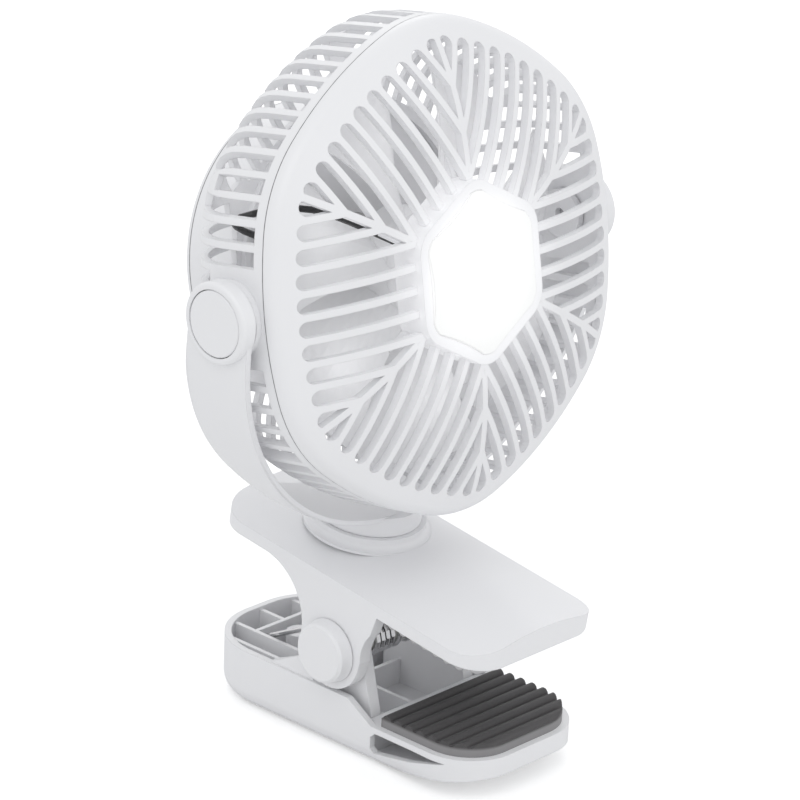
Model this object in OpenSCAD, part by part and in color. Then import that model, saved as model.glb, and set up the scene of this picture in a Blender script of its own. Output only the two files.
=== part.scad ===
// Portable camping fan: a caged fan head with a lamp in its middle tilts in a
// U-shaped yoke, and the yoke swivels on a sprung clamp with rubber pads.
// Origin: on the clamp's flat underside, 7 mm ahead of the hinge pin, half way
// between its sides. +Z up, the fan faces -Y.

/* [Head] */
// Centre of the head to the middle of one of its six sides
head_flat = 79.5; // [66:0.5:96]
// Radius of the bulge of each side
side_radius = 130; // [120:1:200]
// Radius that rounds each corner
corner_radius = 50; // [46:1:56]
// Wall of the front grille
grille_wall = 2.8; // [2:0.1:3.4]
// Wall of the rear shell
shell_wall = 2.4; // [2:0.1:3]
// Joint between grille and rear shell, ahead of the tilt axis
seam_w = 14; // [12:0.5:16]
// Front of the grille, ahead of the tilt axis
face_w = 30.3; // [29:0.1:34]
// Radius of the grille's dome
face_radius = 104; // [100:1:140]
// Rounding where the dome meets the side
face_fillet = 5.5; // [4.5:0.5:7]
// Back of the rear shell, behind the tilt axis
back_w = 27; // [27:1:36]
// Rounding between the side and the back
back_fillet = 22; // [14:1:22]
// Head turned up from level, in degrees
head_tilt = 17.5; // [-20:0.5:30]

/* [Slots] */
// Distance from slot to slot
slot_pitch = 7.56; // [6.8:0.02:7.7]
// Width of each slot
slot_width = 5.2; // [4:0.1:5.4]
// Slots in each of the six sectors of the grille
slots_per_sector = 10; // [6:2:10]
// Width of the six spines
spine_width = 2.5; // [2:0.1:4]
// Margin from the outline to the ends of the grille's slots
slot_margin = 7.5; // [6:0.5:14]

/* [Lamp] */
// Centre of the lamp to the middle of one of its sides
lamp_flat = 24.4; // [20:0.2:25]
// Rounding of the lamp's corners
lamp_round = 9; // [5:0.5:12]
// How far the lamp stands ahead of the grille
lamp_proud = 6; // [3:0.5:8]

/* [Fan] */
// Number of blades
blades = 7; // [5:1:9]
// Radius over the blade tips
blade_radius = 66; // [50:1:67]
// Radius of the impeller's hub
hub_radius = 18.5; // [17:0.5:24]
// Radius of the motor
motor_radius = 14; // [10:0.5:15]

/* [Battery housing] */
// Radius of the drum on the back
drum_radius = 49; // [44:0.5:51]
// How far the drum stands behind the shell
drum_depth = 27; // [26:0.5:32]
// Radius of one battery cell
cell_radius = 9.2; // [8:0.1:9.3]
// Length of one battery cell
cell_length = 65; // [50:0.5:66]

/* [Yoke] */
// Width of the band
yoke_width = 30; // [24:1:36]
// Thickness of the band
yoke_wall = 3.4; // [2.6:0.1:5]
// Gap between the head's sides and the yoke
yoke_gap = 3.4; // [3:0.1:8]
// Radius of the foot that turns on the clamp
foot_radius = 17.8; // [16:0.2:22]

/* [Clamp] */
// Width of both jaws
jaw_width = 62; // [54:1:72]
// Length of the upper jaw
upper_length = 122; // [116:1:140]
// Length of the lower jaw
lower_length = 129; // [124:1:140]
// Wall of both jaws
jaw_wall = 2.4; // [2:0.1:3]
// Height of the lower jaw's wall at its back end
rim_height = 21; // [18:0.5:23]
// Height of the shelf under the lower pad
shelf_height = 14.5; // [13:0.5:17]
// Height of the hinge pin above the floor
hinge_height = 36; // [35:0.5:42]
// Radius of the hinge pin
pin_radius = 2.5; // [2:0.1:3.5]
// Angle between the jaws as the clamp stands open
jaw_lean = 8; // [0:0.5:10]
// Number of ribs across each rubber pad
pad_ribs = 8; // [5:1:9]

/* [Fits] */
// Gap of a turning fit, on the radius
turn_gap = 0.06; // [0.02:0.01:0.1]
// Gap between faces that slide past each other
face_gap = 0.3; // [0.2:0.05:0.6]

/* [Hidden] */
$fn = 96;
eps = 0.01;

// Outline of the head: six bulged sides and six rounded corners, drawn from
// arc centres, so that every inset of it keeps the same centres.
side_centre = side_radius - head_flat;
corner_centre = -side_centre * cos(30)
    + sqrt(pow(side_centre * cos(30), 2) - pow(side_centre, 2) + pow(side_radius - corner_radius, 2));
side_half_angle = atan2(corner_centre * sin(30), corner_centre * cos(30) + side_centre);
corner_half_angle = 30 - side_half_angle;

// Slots
slot_front_w = seam_w - 4;          // front ends of the side slots
slot_offsets = [for (k = [0 : slots_per_sector - 1]) (k + 0.5 - slots_per_sector / 2) * slot_pitch];

// Lamp
lamp_front_w = face_w + lamp_proud;
cup_flat = lamp_flat + 3.2;         // wall that stands round the lamp
cup_front_w = face_w + 2.6;
cup_back_w = face_w - 9.3;
cup_floor = 1.8;
board_w = cup_back_w + cup_floor + 1.5;
lamp_back_w = board_w + 4.2;
chip_size = 2.8;
chip_rings = [[5, 7], [11, 14]];    // how many light chips, on what radius

// Fan
fan_back_w = -9;
fan_front_w = 12;
motor_front_w = -6;
shaft_radius = 1.5;
shaft_front_w = 8;

// Battery case and its cover
case_wall = 2;
cover_thick = 2.5;
case_front_w = 2 - back_w;
motor_back_w = case_front_w;
case_back_w = cover_thick - back_w - drum_depth;
cell_w = case_front_w - case_wall - cell_radius - 0.4;
button_x = 14;
button_radius = 6;
button_travel = 1.2;
board_back_w = case_back_w + 2.4;
switch_w = case_back_w + button_travel + 0.2;
board_size = [40, 14, 1.6];
board_u = 17 - drum_radius;
button_u = board_u - 1;
screw_spots = [50, 130, 230, 310];
screw_ring = drum_radius - 6;
lamp_dots = 4;

// Tilt pivots, along X
pad_radius = 12.4;                  // boss on the rear shell round each stub
flange_radius = 8.5;                // flange of the stub inside the shell
pad_x = head_flat + 2.1;
stub_radius = 6;
yoke_inner_x = head_flat + yoke_gap - 0.4;   // inner face of the yoke's end bosses
yoke_end_x = yoke_inner_x + 5.5;             // outer face of the end bosses
recess_x = yoke_end_x - 3;
recess_radius = 11.15;
cap_radius = recess_radius - 0.25;
boss_radius = recess_radius + 2.25;
arm_front = 12.6;                   // front edge of the arms at the pivots

// Yoke band
band_inner = head_flat + yoke_gap + 0.1;
band_outer = band_inner + yoke_wall;
band_drop = 3;                      // centre of the band below the tilt axis
foot_z = -(band_drop + band_outer + 3.6);
spigot_radius = 8;

// Upper jaw, in the yoke's frame: its origin is the middle of the tilt axis
jaw_top_z = foot_z - 4;
collar_radius = foot_radius + 1.6;
hinge_fwd = 18.5;                   // hinge pin ahead of the swivel axis
hinge_drop = -jaw_top_z + 30.6;     // hinge pin below the tilt axis
upper_round = 13;
upper_back_y = 41;
upper_front_y = upper_back_y - upper_length;
upper_skirt_z = jaw_top_z - 9.5;
jaw_crown = 98;                     // radius of the crown across the top
ear_radius = 13.5;
ear_inner_x = jaw_width / 2 - 5;
boss_under_z = jaw_top_z - 4.4;     // underside of the boss round the swivel
retainer_thick = 1.8;

// Lower jaw, in the part's own frame
hinge_y = 7;
hinge_z = hinge_height;
lower_half = jaw_width / 2 - 1;
lower_back_y = 72;
lower_front_y = lower_back_y - lower_length;
lower_round = 19;                   // front corners
lower_back_round = 25;
lower_fillet = 7;
keel_rise = 8;                      // rise of the underside at the front
keel = [[lower_front_y + 51, 0], [lower_front_y + 37, 1.1], [lower_front_y + 17, 5], [lower_front_y - 1, keel_rise]];
shelf_thick = 2;
shelf_back_y = -8;
lug_x = ear_inner_x - 1.2;          // outer face of the hinge lugs
lug_thick = 4.5;
lug_radius = 9;
cap_out = 5.2;                      // thickness of the hinge caps
cap_face_radius = 10;
cap_base_radius = 11;

// Pads
pad_thick = 3.2;
pad_inset = 2.4;
pad_rib_radius = 1.9;
pad_rib_pitch = 5;

// Clamp spring
wire_radius = 1;
sleeve_radius = 5;
coil_radius = sleeve_radius + wire_radius + 0.15;
coil_turns = 4;
coil_pitch = 2.3;
coil_start_x = 5.5;
arm_reach = [20 + hinge_fwd, jaw_top_z - jaw_wall - wire_radius + hinge_drop];
arm_tip = [hinge_y + cos(jaw_lean) * arm_reach[0] - sin(jaw_lean) * arm_reach[1],
    hinge_z + sin(jaw_lean) * arm_reach[0] + cos(jaw_lean) * arm_reach[1]];

// Lead of the lamp, from its cup to the rear shell, as x, u, w in the head
lead_radius = 1.1;
lead_hole = [-18, 10.4];
lead_end = (drum_radius - 3.4) * [cos(160), sin(160)];
lead_route = [[-18, 10.4, 22.7], [-18.2, 10.6, 20.6], [-20, 11.6, 19], [-24, 14, 18.2], [-30, 17.4, 18],
    [-37, 21.4, 18], [-44, 25.2, 18], [-51, 28.8, 17.6], [-57, 31.4, 16.4], [-62, 32.8, 13.5], [-65.5, 32.6, 8],
    [-67.4, 31, 1], [-67, 29, -6], [-64.4, 26.4, -12], [-60, 23.6, -15.8], [-54.5, 20.6, -18.2],
    [lead_end[0] - 4.6, lead_end[1] + 1.6, case_front_w + 5], [lead_end[0] - 1.6, lead_end[1] + 0.5, case_front_w + 3.4],
    [lead_end[0] - 0.3, lead_end[1] + 0.1, case_front_w + 1.8], [lead_end[0], lead_end[1], case_front_w + 0.4],
    [lead_end[0], lead_end[1], case_front_w - 3.4]];

// ---------- frames ----------

// Everything above the clamp's hinge, level with the swivel axis upright
module in_upper() {
    translate([0, hinge_y, hinge_z])
        rotate([jaw_lean, 0, 0])
            translate([0, hinge_fwd, hinge_drop])
                children();
}

// The head: x right, y up its face, z forward out of its face
module in_head() {
    in_upper() rotate([90 - head_tilt, 0, 0]) children();
}

// Along the X axis, outwards on the left (-1) or right (1) side
module along_x(side) {
    rotate([0, side * 90, 0]) children();
}

// ---------- shared shapes ----------

// Half section under a crowned top: flat inside, an arc of radius crown_r that
// ends in a fillet, then a straight side. inset moves it inwards by a wall.
module crowned_section(span, crown_r, top, fillet, base, inset = 0) {
    crown_z = top - crown_r;
    tangent = asin((span - fillet) / (crown_r - fillet));
    fillet_z = crown_z + (crown_r - fillet) * cos(tangent);
    join = (crown_r - inset) * sin(tangent);
    intersection() {
        translate([0, base]) square([join, top - base]);
        translate([0, crown_z]) circle(crown_r - inset, $fn = 180);
    }
    intersection() {
        translate([join, fillet_z]) square([fillet, fillet]);
        translate([span - fillet, fillet_z]) circle(fillet - inset);
    }
    translate([join, base]) square([span - inset - join, fillet_z - base]);
}

// Section swept round the head's outline, x = distance outside the core
module round_head() {
    for (i = [0 : 5]) rotate([0, 0, 60 * i]) {
        translate([-side_centre, 0, 0])
            rotate([0, 0, -side_half_angle])
                rotate_extrude(angle = 2 * side_half_angle, $fn = 128)
                    translate([side_radius - corner_radius, 0]) children();
        rotate([0, 0, 30])
            translate([corner_centre, 0, 0])
                rotate([0, 0, -corner_half_angle])
                    rotate_extrude(angle = 2 * corner_half_angle, $fn = 72)
                        children();
    }
}

// Plan of the head inside the swept section
module head_core() {
    intersection_for (i = [0 : 5])
        rotate(60 * i)
            translate([-side_centre, 0]) circle(side_radius - corner_radius, $fn = 128);
}

// Section swept round a rectangle with round corners, front_r at its front and
// back_r at its back. The section reads $span, the radius that it is swept on.
module round_plate(half_x, front_y, back_y, front_r, back_r) {
    side_r = min(front_r, back_r);
    for (x = [0, 1]) mirror([x, 0, 0]) {
        translate([half_x - back_r, back_y - back_r, 0]) rotate_extrude(angle = 90) let ($span = back_r) children();
        translate([half_x - front_r, front_y + front_r, 0])
            rotate([0, 0, -90]) rotate_extrude(angle = 90) let ($span = front_r) children();
        translate([half_x - side_r, back_y - back_r, 0])
            rotate([90, 0, 0]) linear_extrude(back_y - back_r - front_y - front_r) let ($span = side_r) children();
    }
    for (end = [[front_y, front_r, 180], [back_y, back_r, 0]]) rotate([0, 0, end[2]])
        translate([end[1] - half_x, abs(end[0]) - end[1], 0])
            rotate([90, 0, 90]) linear_extrude(2 * (half_x - end[1])) let ($span = end[1]) children();
}

// Plan of a rectangle with round corners, moved in by inset
module plate_plan(half_x, front_y, back_y, front_r, back_r, inset = 0) {
    for (x = [-1, 1]) {
        translate([x * (half_x - front_r), front_y + front_r]) circle(front_r - inset);
        translate([x * (half_x - back_r), back_y - back_r]) circle(back_r - inset);
    }
    translate([inset - half_x, front_y + front_r]) square([2 * (half_x - inset), back_y - front_y - front_r - back_r]);
    translate([front_r - half_x, front_y + inset]) square([2 * (half_x - front_r), front_r]);
    translate([back_r - half_x, back_y - back_r]) square([2 * (half_x - back_r), back_r - inset]);
}

// Solid along X from a plan in y and z
module across(from_x, to_x) {
    translate([from_x, 0, 0]) rotate([90, 0, 90]) linear_extrude(to_x - from_x) children();
}

// Hexagon with round corners, sides at the distance flat
module rounded_hex(flat, round_r) {
    rho = (flat - round_r) / cos(30);
    for (i = [0 : 5])
        rotate(60 * i + 30) translate([rho, 0]) circle(round_r);
    polygon([for (i = [0 : 5], s = [0, 1])
        rho * [cos(60 * i + 30), sin(60 * i + 30)] + round_r * [cos(60 * (i + s)), sin(60 * (i + s))]]);
}

// The lamp's outline: a rounded hexagon with sides that curve inwards
module lamp_plan(grow = 0) {
    hollow = 90;
    difference() {
        rounded_hex(lamp_flat + grow, lamp_round);
        for (i = [0 : 5])
            rotate(60 * i) translate([lamp_flat + grow - 0.9 + hollow, 0]) circle(hollow, $fn = 180);
    }
}

// Slots of one sector in plan, between its two spines
module sector_slots(from_x, margin, round_end, offsets) {
    half = spine_width / 2;
    far = head_flat + 12;
    intersection() {
        polygon([[from_x, from_x * tan(30) - half / cos(30)], [from_x, -from_x * tan(30) + half / cos(30)],
            [far, -far * tan(30) + half / cos(30)], [far, far * tan(30) - half / cos(30)]]);
        union() for (y = offsets) {
            end = sqrt(pow(side_radius - margin, 2) - pow(y, 2)) - side_centre;
            stop = round_end ? end - slot_width / 2 : end;
            translate([0, y - slot_width / 2]) square([stop, slot_width]);
            if (round_end) translate([stop, y]) circle(slot_width / 2, $fn = 32);
        }
    }
}

function unit(v) = v / norm(v);

// Normals along a path, each turned as little as can be from the last
function carry(t, n, i = 0) =
    i == len(t) ? [] : let (m = unit(n - (n * t[i]) * t[i])) concat([m], carry(t, m, i + 1));

// Tube along a list of points, as one closed solid with a ring at each point
module tube(points, radius, sides) {
    last = len(points) - 1;
    tangents = [for (i = [0 : last]) unit(points[min(i + 1, last)] - points[max(i - 1, 0)])];
    first = tangents[0];
    normals = carry(tangents, cross(first, abs(first[2]) < 0.7 ? [0, 0, 1] : [0, 1, 0]));
    rings = [for (i = [0 : last], k = [0 : sides - 1])
        let (n = normals[i], b = cross(tangents[i], n))
        points[i] + radius * (cos(360 * k / sides) * n + sin(360 * k / sides) * b)];
    polyhedron(rings, concat(
        [[for (k = [0 : sides - 1]) k]],
        [[for (k = [0 : sides - 1]) last * sides + sides - 1 - k]],
        [for (i = [0 : last - 1], k = [0 : sides - 1])
            [i * sides + k, (i + 1) * sides + k, (i + 1) * sides + (k + 1) % sides, i * sides + (k + 1) % sides]]));
}

// ---------- head ----------

module grille_shell() {
    round_head() difference() {
        crowned_section(corner_radius, face_radius, face_w, face_fillet, seam_w);
        crowned_section(corner_radius, face_radius, face_w, face_fillet, seam_w - 1, grille_wall);
    }
    translate([0, 0, face_w - grille_wall]) linear_extrude(grille_wall) head_core();
}

module spine_webs() {
    web_w = 5;
    reach = corner_centre + corner_radius - 14;
    for (i = [0 : 5]) rotate([0, 0, 60 * i + 30])
        translate([cup_flat, -spine_width / 2 + 0.3, face_w - 4.5 - web_w])
            cube([reach - cup_flat, spine_width - 0.6, web_w]);
}

module front_grille() {
    color("white") in_head() {
        difference() {
            union() {
                grille_shell();
                intersection() {
                    spine_webs();
                    translate([0, 0, face_w - face_radius - 1]) sphere(face_radius - 1, $fn = 180);
                }
            }
            for (i = [0 : 5]) rotate([0, 0, 60 * i])
                translate([0, 0, seam_w + 1])
                    linear_extrude(face_w)
                        difference() {
                            sector_slots(10, slot_margin, true, slot_offsets);
                            rotate(-60 * i) rounded_hex(cup_flat - 0.6, lamp_round);
                        }
            translate([0, 0, cup_back_w]) linear_extrude(face_w) rounded_hex(cup_flat - 1.2, lamp_round);
        }
        difference() {
            translate([0, 0, cup_back_w])
                linear_extrude(cup_front_w - cup_back_w) rounded_hex(cup_flat, lamp_round + 1.5);
            translate([0, 0, cup_back_w + cup_floor])
                linear_extrude(face_w) lamp_plan(0.15);
            translate([lead_hole[0], lead_hole[1], cup_back_w - 1]) cylinder(r = lead_radius + 0.4, h = 5, $fn = 32);
        }
    }
}

module lamp_lens() {
    dome = 118;
    color("white") in_head() intersection() {
        translate([0, 0, lamp_back_w]) linear_extrude(face_w) lamp_plan();
        translate([0, 0, lamp_front_w - dome]) sphere(dome, $fn = 360);
    }
}

module led_board() {
    color("ivory") in_head() {
        translate([0, 0, cup_back_w + cup_floor]) linear_extrude(board_w - cup_back_w - cup_floor) lamp_plan(-1);
        translate([0, 0, board_w]) {
            translate([-chip_size / 2, -chip_size / 2, 0]) cube([chip_size, chip_size, 0.8]);
            for (ring = chip_rings, i = [0 : ring[0] - 1])
                rotate([0, 0, 360 * i / ring[0]])
                    translate([ring[1] - chip_size / 2, -chip_size / 2, 0]) cube([chip_size, chip_size, 0.8]);
        }
    }
}

module led_lead() {
    color("dimgray") in_head() tube(lead_route, lead_radius, 8);
}

// One blade as a closed mesh, thicker at its middle than at its edges
module blade() {
    rows = 9;
    cols = 8;
    root = hub_radius - 1.5;
    function place(r, s, face) =
        let (f = (r - root) / (blade_radius - root),
             chord = 46 - 6 * f,
             sweep = 10 * f * f,
             rise = (fan_front_w - fan_back_w - 2) * (1 - 0.35 * f),
             half = 0.5 + 0.75 * sin(180 * s),
             w = (fan_front_w + fan_back_w) / 2 + rise * (s - 0.5) + 2.2 * sin(180 * s) - 1 + face * half,
             a = chord * (s - 0.5) + sweep)
        [r * cos(a), r * sin(a), w];
    radii = [for (j = [0 : rows]) root + (blade_radius - root) * j / rows];
    n = cols + 1;
    low = [for (r = radii, i = [0 : cols]) place(r, i / cols, -1)];
    top = [for (r = radii, i = [0 : cols]) place(r, i / cols, 1)];
    m = len(low);
    polyhedron(concat(low, top), concat(
        [for (j = [0 : rows - 1], i = [0 : cols - 1])
            each [[j * n + i, (j + 1) * n + i, (j + 1) * n + i + 1], [j * n + i, (j + 1) * n + i + 1, j * n + i + 1]]],
        [for (j = [0 : rows - 1], i = [0 : cols - 1])
            each [[m + j * n + i, m + (j + 1) * n + i + 1, m + (j + 1) * n + i],
                  [m + j * n + i, m + j * n + i + 1, m + (j + 1) * n + i + 1]]],
        [for (j = [0 : rows - 1])
            each [[j * n, m + j * n, m + (j + 1) * n], [j * n, m + (j + 1) * n, (j + 1) * n],
                  [j * n + cols, m + (j + 1) * n + cols, m + j * n + cols],
                  [j * n + cols, (j + 1) * n + cols, m + (j + 1) * n + cols]]],
        [for (i = [0 : cols - 1])
            each [[i, i + 1, m + i + 1], [i, m + i + 1, m + i],
                  [rows * n + i, m + rows * n + i + 1, rows * n + i + 1],
                  [rows * n + i, m + rows * n + i, m + rows * n + i + 1]]]));
}

module fan_impeller() {
    cup_wall = 2;
    color("white") in_head() {
        for (i = [0 : blades - 1]) rotate([0, 0, 360 * i / blades]) blade();
        difference() {
            rotate_extrude() {
                translate([0, fan_back_w + 2]) square([hub_radius, fan_front_w - fan_back_w - 6]);
                translate([0, fan_front_w - 5]) square([hub_radius - 4, 4]);
                translate([hub_radius - 4, fan_front_w - 5]) circle(4, $fn = 48);
            }
            translate([0, 0, fan_back_w]) cylinder(r = hub_radius - cup_wall, h = fan_front_w - fan_back_w - 7);
            translate([0, 0, fan_back_w]) cylinder(r = shaft_radius, h = shaft_front_w - fan_back_w);
        }
    }
}

module motor_shaft() {
    color("silver") in_head()
        translate([0, 0, motor_back_w + 3]) cylinder(r = shaft_radius, h = shaft_front_w - motor_back_w - 3, $fn = 48);
}

module motor_body() {
    color("silver") in_head() difference() {
        union() {
            translate([0, 0, motor_back_w]) rotate_extrude() {
                square([motor_radius, motor_front_w - motor_back_w - 1.5]);
                square([motor_radius - 1.5, motor_front_w - motor_back_w]);
                translate([motor_radius - 1.5, motor_front_w - motor_back_w - 1.5]) circle(1.5, $fn = 32);
            }
            translate([0, 0, motor_front_w - 1]) cylinder(r = 4, h = 2.5, $fn = 48);
        }
        translate([0, 0, motor_back_w + 2.9])
            cylinder(r = shaft_radius + turn_gap, h = shaft_front_w - motor_back_w, $fn = 48);
    }
}

// Outline of the head as steps round it: a point of the core's edge and the way outwards
outline_steps = 8;
outline = [for (i = [0 : 5], part = [0, 1], k = [0 : outline_steps - 1])
    let (half = part == 0 ? side_half_angle : corner_half_angle,
        turn = 60 * i + 30 * part,
        a = turn - half + 2 * half * k / outline_steps,
        away = [cos(a), sin(a)],
        centre = part == 0 ? -side_centre * [cos(turn), sin(turn)] : corner_centre * [cos(turn), sin(turn)])
    [centre + (part == 0 ? side_radius - corner_radius : 0) * away, away]];

// Solid swept round the head from the points of a closed section, x = distance
// outside the core, running anticlockwise
module sweep_head(section) {
    n = len(section);
    m = len(outline);
    polyhedron([for (o = outline, p = section) [o[0][0] + p[0] * o[1][0], o[0][1] + p[0] * o[1][1], p[1]]],
        [for (j = [0 : m - 1], k = [0 : n - 1])
            [j * n + k, j * n + (k + 1) % n, (j + 1) % m * n + (k + 1) % n, (j + 1) % m * n + k]]);
}

// Section of the rear shell: flat back, round shoulder, straight side
function shoulder(inset, steps = 8) = [for (k = [0 : steps])
    let (a = 90 * k / steps, r = back_fillet - inset)
    [corner_radius - back_fillet + r * sin(a), back_fillet - back_w - r * cos(a)]];

module rear_body() {
    start = drum_radius - corner_centre - 8;
    sweep_head(concat([[start, -back_w]], shoulder(0), [[corner_radius, seam_w], [corner_radius - shell_wall, seam_w]],
        [for (k = [8 : -1 : 0]) shoulder(shell_wall)[k]], [[start, -back_w + shell_wall]]));
}

// Slots of one side: they run back over the shoulder, and stop behind the pads
module side_slots(i) {
    beside = i % 3 == 0;
    keep = pad_radius + 2.9;
    rotate([0, 0, 60 * i]) for (y = slot_offsets) {
        along = sqrt(pow(side_radius - back_fillet - 4.2, 2) - y * y) - side_centre;
        start = max(along, (abs(y) + slot_width / 2 + 2) / tan(30));
        stop_w = beside && abs(y) < keep ? -sqrt(keep * keep - y * y) : slot_front_w;
        translate([start, y - slot_width / 2, -back_w - 5])
            cube([head_flat + 3 - start, slot_width, stop_w + back_w + 5]);
    }
    rotate([0, 0, 60 * i + 30])
        translate([head_flat - 8, -slot_width / 2, -12]) cube([14, slot_width, slot_front_w + 12]);
}

module rear_shell() {
    color("white") in_head() {
        difference() {
            rear_body();
            for (i = [0 : 5]) side_slots(i);
            translate([0, 0, -back_w - 1]) cylinder(r = drum_radius + 0.15, h = shell_wall + 2, $fn = 120);
            for (side = [-1, 1]) along_x(side)
                translate([0, 0, head_flat - 12]) cylinder(r = stub_radius + 0.02, h = 20, $fn = 48);
        }
        translate([0, 0, -back_w + shell_wall - 0.2]) difference() {
            cylinder(r = drum_radius + 2.8, h = 2.2, $fn = 120);
            translate([0, 0, -1]) cylinder(r = drum_radius + 0.15, h = 5, $fn = 120);
        }
        for (side = [-1, 1]) along_x(side) difference() {
            translate([0, 0, head_flat - 1]) cylinder(r = pad_radius, h = pad_x - head_flat + 1, $fn = 64);
            cylinder(r = stub_radius + 0.02, h = 100, $fn = 48);
        }
    }
}

module battery_case() {
    color("white") in_head() difference() {
        translate([0, 0, case_back_w]) cylinder(r = drum_radius, h = case_front_w - case_back_w, $fn = 180);
        difference() {
            translate([0, 0, case_back_w - 1])
                cylinder(r = drum_radius - case_wall, h = case_front_w - case_back_w + 1 - case_wall, $fn = 180);
            for (a = screw_spots) rotate([0, 0, a]) translate([screw_ring, 0, case_back_w])
                cylinder(r = 3, h = 30, $fn = 32);
        }
        for (a = screw_spots) rotate([0, 0, a]) translate([screw_ring, 0, case_back_w - 1])
            cylinder(r = 1.25, h = 13, $fn = 24);
        translate([-4.6, -drum_radius - 1, board_back_w + board_size[2] - 0.1]) cube([9.2, 6, 3.4]);
        translate([lead_end[0], lead_end[1], case_front_w - 4]) cylinder(r = lead_radius + 0.3, h = 6, $fn = 24);
    }
}

module battery_cells() {
    color("steelblue") in_head()
        for (u = [-1, 1])
            translate([-cell_length / 2, u * (cell_radius + 0.2), cell_w])
                rotate([0, 90, 0]) cylinder(r = cell_radius, h = cell_length);
}

module main_board() {
    color("green") in_head() {
        translate([-board_size[0] / 2, board_u - board_size[1] / 2, board_back_w]) cube(board_size);
        for (x = [-1, 1]) translate([x * button_x - 3, button_u - 3, switch_w]) cube([6, 6, board_back_w - switch_w + 0.2]);
        translate([-5, board_u - 1, board_back_w + board_size[2] - 0.1]) cube([10, 6, 1.6]);
        translate([-6, case_wall + 0.6 - drum_radius, board_back_w]) cube([12, drum_radius + board_u - case_wall, board_size[2]]);
    }
}

module usb_port() {
    color("silver") in_head() difference() {
        translate([-4.45, -drum_radius + 0.4, board_back_w + board_size[2]]) cube([8.9, 8.6, 3.2]);
        translate([-4.05, -drum_radius, board_back_w + board_size[2] + 0.4]) cube([8.1, 7.6, 2.4]);
    }
}

module back_cover() {
    round_r = 2;
    color("white") in_head() difference() {
        translate([0, 0, case_back_w - cover_thick]) rotate_extrude($fn = 180) {
            square([drum_radius - round_r, cover_thick]);
            translate([0, round_r]) square([drum_radius, cover_thick - round_r]);
            intersection() {
                translate([drum_radius - round_r, round_r]) circle(round_r, $fn = 48);
                square([drum_radius, round_r]);
            }
        }
        for (x = [-1, 1]) translate([x * button_x, button_u, case_back_w - cover_thick - 1])
            cylinder(r = button_radius + face_gap, h = cover_thick + 3);
        for (a = screw_spots) rotate([0, 0, a]) translate([screw_ring, 0, case_back_w - cover_thick - 1]) {
            cylinder(r = 1.6, h = cover_thick + 3, $fn = 32);
            cylinder(r = 3, h = 2.2, $fn = 32);
        }
        for (i = [0 : lamp_dots - 1])
            translate([(i - (lamp_dots - 1) / 2) * 5, button_u + 13, case_back_w - cover_thick - 1])
                cylinder(r = 1.2, h = cover_thick + 3, $fn = 32);
    }
}

module cover_screws() {
    color("silver") in_head()
        for (a = screw_spots) rotate([0, 0, a]) translate([screw_ring, 0, case_back_w - cover_thick + 0.2]) {
            cylinder(r = 2.8, h = 1, $fn = 32);
            cylinder(r = 1.25, h = 10, $fn = 32);
        }
}

module charge_lights() {
    color("lightblue") in_head()
        for (i = [0 : lamp_dots - 1])
            translate([(i - (lamp_dots - 1) / 2) * 5, button_u + 13, case_back_w - cover_thick + 0.1])
                cylinder(r = 1.2, h = cover_thick - 0.1, $fn = 32);
}

// A round push button: its face stands out of the cover, its flange stays inside
module push_button(side) {
    color("gainsboro") in_head()
        translate([side * button_x, button_u, 0]) {
            translate([0, 0, case_back_w - cover_thick - 1.4]) cylinder(r = button_radius, h = cover_thick + 0.1, $fn = 64);
            translate([0, 0, case_back_w - 1.31]) cylinder(r = 2, h = 1.4, $fn = 32);
        }
}

module fan_button() { push_button(-1); }
module light_button() { push_button(1); }

// ---------- tilt pivots ----------

module pivot_stub(side) {
    inner = head_flat - shell_wall;
    color("white") in_head() along_x(side) difference() {
        union() {
            cylinder(r = stub_radius, h = recess_x + 0.2);
            translate([0, 0, inner - 3]) cylinder(r = flange_radius, h = 2.3);
        }
        translate([0, 0, -1]) cylinder(r = 20, h = inner - 2);
        cylinder(r = 2, h = 100, $fn = 32);
    }
}

module pivot_screw(side) {
    color("silver") in_head() along_x(side) {
        translate([0, 0, head_flat - 3]) cylinder(r = 2, h = recess_x + 0.2 - head_flat + 3.5, $fn = 32);
        translate([0, 0, recess_x + 0.2]) cylinder(r = 8.6, h = 0.9);
    }
}

module friction_washer(side) {
    color("dimgray") in_head() along_x(side) translate([0, 0, pad_x]) difference() {
        cylinder(r = boss_radius - 1.6, h = yoke_inner_x - pad_x - face_gap);
        translate([0, 0, -1]) cylinder(r = stub_radius, h = 5);
    }
}

module pivot_stub_left() { pivot_stub(-1); }
module pivot_stub_right() { pivot_stub(1); }
module pivot_screw_left() { pivot_screw(-1); }
module pivot_screw_right() { pivot_screw(1); }
module friction_washer_left() { friction_washer(-1); }
module friction_washer_right() { friction_washer(1); }

// ---------- yoke ----------

// Cross-section of the band, its outer face slightly crowned
module band_section() {
    crown = 70;
    half = yoke_width / 2;
    intersection() {
        translate([band_inner, -half]) square([yoke_wall + 1, yoke_width]);
        translate([band_outer - crown, 0]) circle(crown, $fn = 240);
        translate([band_inner, -half + 1.2]) square([yoke_wall + 1, yoke_width - 2.4]);
    }
    translate([band_inner, -half]) square([1.6, yoke_width]);
}

module end_boss() {
    round_r = 1.4;
    translate([0, 0, yoke_inner_x]) rotate_extrude() {
        square([boss_radius, yoke_end_x - yoke_inner_x - round_r]);
        square([boss_radius - round_r, yoke_end_x - yoke_inner_x]);
        translate([boss_radius - round_r, yoke_end_x - yoke_inner_x - round_r]) circle(round_r, $fn = 32);
    }
}

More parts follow.
